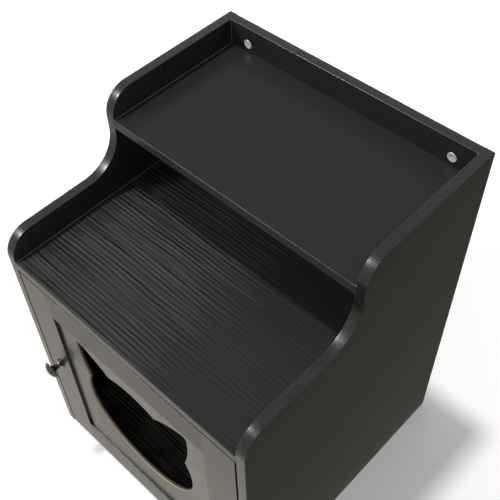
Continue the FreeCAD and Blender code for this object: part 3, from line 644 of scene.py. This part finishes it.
# ---- operators ---------------------------------------------------------------------------
class CABINET_OT_boards(Operator):
    """Dress the laminated boards: side panels, tops, shelf, rail and the door's frame"""
    bl_idname = "cabinet.boards"
    bl_label = "Laminated boards"

    def execute(self, context):
        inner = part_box("lower_top")[1].x
        panels = laminate("black_laminate_upright", "z", 0.12, arris={"x": inner},
                          bare=("+y", "-z"))
        lying = laminate("black_laminate_embossed", "x", 1.0, across="z", seams=inner,
                         arris=self.front_line("lower_top"), fade=(-0.02, 0.1), bare=("+y",),
                         band_coat=0.35, band_skin=0.1)
        # the bottom board's streaks are made six times paler: painted light inside the dim cabinet
        bottom = laminate("black_laminate_ribbed", "x", 1.0, across="z", seams=inner,
                          bare=("+y",), pale=6.0)
        smooth = laminate("black_laminate_smooth", "x", 0.05, across="z", seams=inner,
                          arris=self.front_line("upper_shelf"), bare=("+y",),
                          band_coat=0.1, band_lift=0.022, band_skin=0.4)
        rail = laminate("black_laminate_rail", "x", 0.12, across="y", seams=inner,
                        arris=self.front_line("back_rail"), dull=0.25)
        stiles = laminate("black_laminate_stile", "z", 0.1, across="y", face_coat=0.35)
        cross_rails = laminate("black_laminate_cross_rail", "x", 0.1, across="y",
                               face_coat=0.24)
        dressed = {
            "left_side_panel": panels, "right_side_panel": panels, "lower_top": lying,
            "bottom_board": bottom, "upper_shelf": smooth, "back_rail": rail,
            "door_stile_left": stiles, "door_stile_right": stiles,
            "door_rail_top": cross_rails, "door_rail_bottom": cross_rails,
        }
        for node, material in dressed.items():
            smooth_copy(node, node + "_laminated", material)
        return {"FINISHED"}

    def front_line(self, node):
        """The planes of a board's front and upper faces, which meet in its arris, where a pale line
        of wear and painted highlight runs.
        """
        low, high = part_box(node)
        return {"y": low.y, "z": high.z}


class CABINET_OT_thin_panel(Operator):
    """Build the thin door panel with the eased, bare edge of its cat-head opening"""
    bl_idname = "cabinet.thin_panel"
    bl_label = "Thin panel with its opening"

    def execute(self, context):
        low, high = (np.array(corner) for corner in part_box("door_panel"))
        rim = self.rim(low, high)
        reach_x = (rim[:, 0].max() - rim[:, 0].min()) / 2
        middle = np.array([rim[:, 0].min() + reach_x, rim[:, 1].min() + reach_x])
        corners = np.array([(x, z) for x in (low[0], high[0]) for z in (low[2], high[2])])
        away, from_corner = rim - middle, corners - middle
        angle = np.arctan2(away[:, 1], away[:, 0])
        order = np.argsort(angle)
        turns = np.concatenate([np.linspace(-np.pi, np.pi, 720, endpoint=False), angle,
                                np.arctan2(from_corner[:, 1], from_corner[:, 0])])
        turns = np.unique(np.round(turns, 5))
        radius = np.interp(turns, angle[order], np.hypot(*away.T)[order], period=2 * np.pi)
        ray = np.stack([np.cos(turns), np.sin(turns)], -1)
        hole = middle + radius[:, None] * ray
        step = np.roll(hole, -1, axis=0) - np.roll(hole, 1, axis=0)
        outward = np.stack([step[:, 1], -step[:, 0]], -1)
        outward /= np.linalg.norm(outward, axis=1)[:, None]

        half = (high - low)[[0, 2]] / 2
        start = middle - (high + low)[[0, 2]] / 2
        slope = np.where(abs(ray) < 1e-9, 1e-9, ray)
        outer = middle + ray * ((np.sign(slope) * half - start) / slope).min(1)[:, None]

        ease = 0.5 * MM
        lean = np.radians(np.linspace(0, 90, 5))
        inset = ease * (1 - np.sin(lean))
        back = ease * (1 - np.cos(lean))
        rows = [(outer, low[1])]
        rows += [(hole + outward * shift, low[1] + depth) for shift, depth in zip(inset, back)]
        rows += [(hole + outward * shift, high[1] - depth)
                 for shift, depth in zip(inset[::-1], back[::-1])]
        rows += [(outer, high[1]), (outer, low[1])]
        grid = np.stack([np.insert(flat, 1, depth, axis=1) for flat, depth in rows])
        panel = surface("door_panel_cut", [grid], "door",
                        fibreboard_edge("black_laminate_cut_through"), sharp=50)
        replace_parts(panel, "door_panel")
        return {"FINISHED"}

    def rim(self, low, high):
        """The (x, z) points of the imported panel's opening."""
        mesh = frame["nodes"]["door_panel"].data
        points = np.empty(len(mesh.vertices) * 3, np.float32)
        mesh.vertices.foreach_get("co", points)
        flat = points.reshape(-1, 3)[:, [0, 2]]
        inside = np.all((flat > low[[0, 2]] + MM) & (flat < high[[0, 2]] - MM), axis=1)
        rim = np.unique(np.round(flat[inside], 6), axis=0)
        if len(rim) < 40:
            raise RuntimeError("the door panel has no opening")
        return rim


class CABINET_OT_back(Operator):
    """Dress the thin back"""
    bl_idname = "cabinet.back"
    bl_label = "Thin back"

    def execute(self, context):
        smooth_copy("back_panel", "back_panel_pressed", hardboard("brown_hardboard"))
        return {"FINISHED"}


class CABINET_OT_knob(Operator):
    """Build the turned knob"""
    bl_idname = "cabinet.knob"
    bl_label = "Turned knob"

    def execute(self, context):
        look = context.scene.knob
        low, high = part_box("knob")
        reach = high.y - low.y
        radius = (high.x - low.x) / 2
        seat = Vector(((low.x + high.x) / 2, high.y, (low.z + high.z) / 2))
        rim_back = look.rim_reach - look.rim_radius
        rim_front = look.rim_reach + look.rim_radius
        edge = radius - look.rim_radius
        flare = rim_back - look.neck_length
        rise = edge - look.neck_radius
        lean = np.linspace(0, np.pi / 2, 14)
        flare_rows = np.stack([look.neck_length + flare * np.sin(lean),
                               look.neck_radius + rise * (1 - np.cos(lean))], -1)
        height = reach - rim_front
        dome_radius = (height ** 2 + edge ** 2) / (2 * height)
        half = math.degrees(math.asin(edge / dome_radius))
        dome_rows = arc((reach - dome_radius, 0), dome_radius, half, 0, 24)
        base = arc((look.base_thickness - MM, look.base_radius - MM), MM, 90, 0, 6)
        profile = np.concatenate([
            [(0, 0), (0, look.base_radius)], base,
            [(look.base_thickness + 0.5 * MM, look.neck_radius + 1.2 * MM),
             (look.base_thickness + 1.6 * MM, look.neck_radius)],
            flare_rows, arc((look.rim_reach, edge), look.rim_radius, 180, 0, 16)[1:], dome_rows[1:],
        ])
        grid = turned(seat, FRONT, profile, look.around)
        piece = surface("knob_turned", [grid], "door",
                        moulded("glossy_black_paint", tuple(look.paint), 0.08, 500.0), sharp=50)
        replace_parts(piece, "knob")
        return {"FINISHED"}


class CABINET_OT_cams(Operator):
    """Build the cast cam discs with their cross slots"""
    bl_idname = "cabinet.cams"
    bl_label = "Cam discs"

    def execute(self, context):
        look = context.scene.fittings
        zinc = metal("cast_zinc", tuple(look.zinc), 0.42, 0.3, 0.8, metallic=0.3)
        outward = {"back_rail_cam_locks": FRONT, "lower_top_cam_locks": DOWN,
                   "bottom_board_cam_locks": DOWN, "upper_shelf_cam_locks": DOWN}
        for node, facing in outward.items():
            grids = [self.disc(box, facing, look) for box in solids_of(node)]
            piece = surface(node + "_cast", grids, "carcass", zinc)
            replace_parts(piece, node)
        return {"FINISHED"}

    def disc(self, box, facing, look):
        """A disc whose face dips by a cross, a shallow ring and a small arrow mark.

        The face's depth is a function of the point (across, up) on it, with across
        along x towards the bolt.
        """
        low, high = box
        along = -np.array(facing)
        side = np.array((math.copysign(1, low[0] + high[0]), 0, 0))
        up = np.cross(along, side)
        radius = (high[0] - low[0]) / 2
        thick = float(abs((high - low) @ along))
        middle = (low + high) / 2 - along * thick / 2
        angle = np.linspace(0, 2 * np.pi, look.around * 2, endpoint=False)
        ring = np.cos(angle)[:, None] * side + np.sin(angle)[:, None] * up
        reach = np.concatenate([np.linspace(0, 0.9, 30), [0.93, 0.96, 0.985, 1]])[:, None] * radius
        across, over = reach * np.cos(angle), reach * np.sin(angle)
        turn = math.radians(45)
        slot = cross(across * math.cos(turn) - over * math.sin(turn),
                     across * math.sin(turn) + over * math.cos(turn),
                     look.cam_cross_width / 2, look.cam_cross_length / 2)
        arrow = np.clip((across - 4.6 * MM - 1.3 * abs(over)) / (0.3 * MM), 0, 1)
        arrow = arrow * np.clip((6.6 * MM - across) / (0.3 * MM), 0, 1)
        groove = np.clip(1 - abs(reach / radius - 0.9) / 0.05, 0, 1)
        eased = np.clip((reach / radius - 0.955) / 0.045, 0, 1) ** 2
        depth = slot * look.cam_cross_depth + (arrow * 0.35 + groove * 0.25 + eased * 0.4) * MM
        face = middle + depth[..., None] * along + reach[..., None] * ring
        wall = middle + thick * along + np.array([radius, 0.0])[:, None, None] * ring
        return np.concatenate([face, wall])


class CABINET_OT_screws(Operator):
    """Build the cross-head screws of the hinges, the catch and the knob"""
    bl_idname = "cabinet.screws"
    bl_label = "Screws"

    def execute(self, context):
        look = context.scene.fittings
        steel = metal("bright_plated_screws", tuple(look.steel), 0.24, 0.3, 0.1)
        # node: direction into the wood, head radius and thickness, shank radius, sunk
        rows = {
            "hinge_cup_screws": ((0, -1, 0), 3.4, 1.08, 1.75, True),
            "hinge_plate_screws": ((1, 0, 0), 3.8, 1.8, 2.0, True),
            "hinge_arm_screws": ((1, 0, 0), 3.6, 1.4, 2.0, False),
            "catch_screws": ((0, 0, 1), 3.1, 1.6, 1.6, False),
            "strike_screw": ((0, -1, 0), 2.7, 0.9, 1.3, True),
            "knob_screw": ((0, -1, 0), 4.2, 2.4, 2.0, False),
        }
        for node, (direction, head, thick, radius, sunk) in rows.items():
            grids = [screw(box, direction, head * MM, thick * MM, radius * MM, sunk)
                     for box in solids_of(node)]
            body = frame["nodes"][node]["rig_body"]
            piece = surface(node + "_threaded", grids, body, steel, sharp=35)
            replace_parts(piece, node)
        return {"FINISHED"}


class CABINET_OT_hardware(Operator):
    """Dress the hinges, the catch, the bolts, the dowels, the nails and the glides"""
    bl_idname = "cabinet.hardware"
    bl_label = "Hinges, catch and fixings"
    # the nodes whose round faces show, and are shaded as curves
    curved = ("hinge_cup", "hinge_arm", "hinge_plate", "foot_glides", "catch_case", "strike_plate")

    def execute(self, context):
        look = context.scene.fittings
        materials = {
            "plated_steel": metal("plated_steel_sheet", tuple(look.steel), 0.3, 0.25, 0.25),
            "beech": wood("beech_dowels", tuple(look.beech)),
            "black_plastic": moulded("black_moulded_plastic", tuple(look.plastic), 0.42),
            "ferrite": moulded("dark_ferrite", tuple(look.ferrite), 0.6, 2500.0),
        }
        slots = {part["node"]: part["material_slot"] for part in frame["record"]["subparts"]}
        for node, piece in frame["nodes"].items():
            if piece.hide_render:
                continue
            if slots[node] not in materials:
                raise RuntimeError("no finish for " + node)
            finish = materials[slots[node]]
            if node.startswith(self.curved):
                smooth_copy(node, node + "_finished", finish, sharp=35, board=False)
            else:
                for slot in piece.material_slots:
                    slot.material = finish
        return {"FINISHED"}


class CABINET_OT_stage(Operator):
    """Build the pale floor, the lights and the camera"""
    bl_idname = "cabinet.stage"
    bl_label = "Studio"
    # from the cabinet's middle towards the lamps
    overhead = (-0.185, -0.048, 0.98)
    front_left = (-0.47, -0.66, 0.58)
    upper_left = (-0.47, -0.49, 0.73)
    cabinet_middle = (0, 0, 0.35)
    floor_radius = 12
    # places on the floor between which one card turns into the next: from the front card into the
    # painted shade of the side cards
    beside_panel, behind_door, farther_off = (0.2, 0.245), (-0.3, -0.22), (0.3, 0.55)
    # the photograph's view, in metres, in radians and in pixels of its square image
    viewpoint = (0.52929, -0.50468, 1.3539)
    yaw, pitch, roll = 0.808, 0.878, -0.053
    image_side = 500
    focal_length = 821.061
    optical_centre = (233.306, 249.448)

    def execute(self, context):
        look = context.scene.studio
        scene = context.scene
        scene.view_settings.view_transform = "Standard"
        self.floor(look)
        self.surround(scene, look)
        key = self.lamp("overhead_key", "SUN", self.overhead, look.box_distance)
        key.data.energy = look.key_strength
        key.data.angle = look.key_angle
        key.visible_glossy = False
        fill = self.lamp("fill", "SUN", self.front_left, look.box_distance)
        fill.data.energy = look.fill_strength
        fill.data.angle = look.key_angle * 2
        fill.visible_glossy = False
        box = self.lamp("softbox", "AREA", self.upper_left, look.box_distance)
        box.data.energy = look.box_power
        box.data.size = look.box_size
        box.visible_diffuse = False
        self.camera(scene)
        return {"FINISHED"}

    def lamp(self, name, kind, aim, distance):
        """A lamp at a distance along aim from the cabinet's middle, which it shines at."""
        aim = Vector(aim).normalized()
        lamp = bpy.data.objects.new(name, bpy.data.lights.new(name, kind))
        lamp.location = Vector(self.cabinet_middle) + aim * distance
        lamp.rotation_euler = aim.to_track_quat("Z", "Y").to_euler()
        bpy.context.scene.collection.objects.link(lamp)
        return lamp

    def floor(self, look):
        """A flat disc whose rings lie close together by the cabinet and wide apart far off.

        The camera sees it with its shadow. Gloss sees a warm card with painted shade that darkens
        it beside the cabinet and farther off to the side.
        """
        reach = np.linspace(0, 1, 24)[:, None] ** 4 * self.floor_radius
        angle = np.linspace(0, 2 * np.pi, 48, endpoint=False)
        disc = np.stack([reach * np.cos(angle), reach * np.sin(angle), 0 * reach * angle], -1)
        m = Maker("pale_floor")
        x, y, _ = m.place()
        # gloss sees painted shade on the floor beside the cabinet and farther off
        side = m.blend(x.ramp(*self.farther_off), tuple(look.shaded_card_near), tuple(look.shaded_card_far))
        shaded_aside = x.ramp(*self.beside_panel) * y.ramp(*self.behind_door)
        card = m.blend(shaded_aside, tuple(look.card_front), side)
        glossy = m.node("ShaderNodeLightPath", output="Is Glossy Ray")
        lift = m.blend(self.seen_directly(m) * look.lift, (0, 0, 0), (1, 1, 1))
        m.finish(Base_Color=m.blend(glossy, tuple(look.floor), (0, 0, 0)), Roughness=0.9,
                 Specular_IOR_Level=0.0, Emission_Color=m.blend(glossy, lift, card),
                 Emission_Strength=1.0)
        mesh = bpy.data.meshes.new("floor")
        rows, columns = disc.shape[:2]
        index = np.arange(rows * columns).reshape(rows, columns)
        beside = np.roll(index, -1, axis=1)
        faces = np.stack([index[:-1], index[1:], beside[1:], beside[:-1]], -1).reshape(-1, 4)
        mesh.from_pydata(disc.reshape(-1, 3).tolist(), [], faces.tolist())
        mesh.materials.append(m.holder)
        piece = bpy.data.objects.new("floor", mesh)
        bpy.context.scene.collection.objects.link(piece)

    def seen_directly(self, m):
        """1 for rays from the camera and in reflections, 0 for light that falls on things."""
        camera = m.node("ShaderNodeLightPath", output="Is Camera Ray")
        glossy = m.node("ShaderNodeLightPath", output="Is Glossy Ray")
        through = m.node("ShaderNodeLightPath", output="Is Transmission Ray")
        return camera.either(glossy).either(through)

    def surround(self, scene, look):
        scene.world = bpy.data.worlds.new("surround")
        m = Maker("surround", scene.world)
        strength = self.seen_directly(m) * (1 - look.surround) + look.surround
        background = m.tree.nodes["Background"]
        background.inputs["Color"].default_value = (1, 1, 1, 1)
        m.feed(background.inputs["Strength"], strength)

    def camera(self, scene):
        """The photograph's view, fitted to the cabinet's own edges."""
        level = math.cos(self.pitch)
        forward = Vector((-math.sin(self.yaw) * level, math.cos(self.yaw) * level,
                          -math.sin(self.pitch)))
        right = forward.cross(Vector((0, 0, 1))).normalized()
        up = right.cross(forward)
        turned_right = math.cos(self.roll) * right + math.sin(self.roll) * up
        turned_up = math.cos(self.roll) * up - math.sin(self.roll) * right
        lens = bpy.data.cameras.new("camera")
        lens.sensor_width = 36
        lens.lens = lens.sensor_width * self.focal_length / self.image_side
        lens.shift_x = 0.5 - self.optical_centre[0] / self.image_side
        lens.shift_y = self.optical_centre[1] / self.image_side - 0.5
        camera = bpy.data.objects.new("camera", lens)
        turn = Matrix((turned_right, turned_up, -forward)).transposed().to_4x4()
        camera.matrix_world = Matrix.Translation(self.viewpoint) @ turn
        scene.collection.objects.link(camera)
        scene.camera = camera


class CABINET_PT_looks(Panel):
    """The cabinet's sizes, colours and steps in the 3D view's sidebar"""
    bl_label = "Cabinet"
    bl_space_type = "VIEW_3D"
    bl_region_type = "UI"
    bl_category = "Cabinet"

    def draw(self, context):
        for name in GROUPS:
            settings = getattr(context.scene, name)
            box = self.layout.box()
            for prop in settings.__annotations__:
                box.prop(settings, prop)
        for step in STEPS:
            self.layout.operator(step.bl_idname)


GROUPS = {"laminate": LaminateSettings, "back": BackSettings, "knob": KnobSettings,
          "fittings": FittingSettings, "studio": StudioSettings}
STEPS = (CABINET_OT_boards, CABINET_OT_thin_panel, CABINET_OT_back, CABINET_OT_knob,
         CABINET_OT_cams, CABINET_OT_screws, CABINET_OT_hardware, CABINET_OT_stage)


def register():
    for group in GROUPS.values():
        bpy.utils.register_class(group)
    for name, group in GROUPS.items():
        setattr(bpy.types.Scene, name, PointerProperty(type=group))
    for step in (*STEPS, CABINET_PT_looks):
        bpy.utils.register_class(step)


def unregister():
    for step in reversed((*STEPS, CABINET_PT_looks)):
        bpy.utils.unregister_class(step)
    for name, group in reversed(GROUPS.items()):
        delattr(bpy.types.Scene, name)
        bpy.utils.unregister_class(group)


def main():
    register()
    for step in STEPS:
        group, name = step.bl_idname.split(".")
        getattr(getattr(bpy.ops, group), name)()


if __name__ == "__main__":
    main()
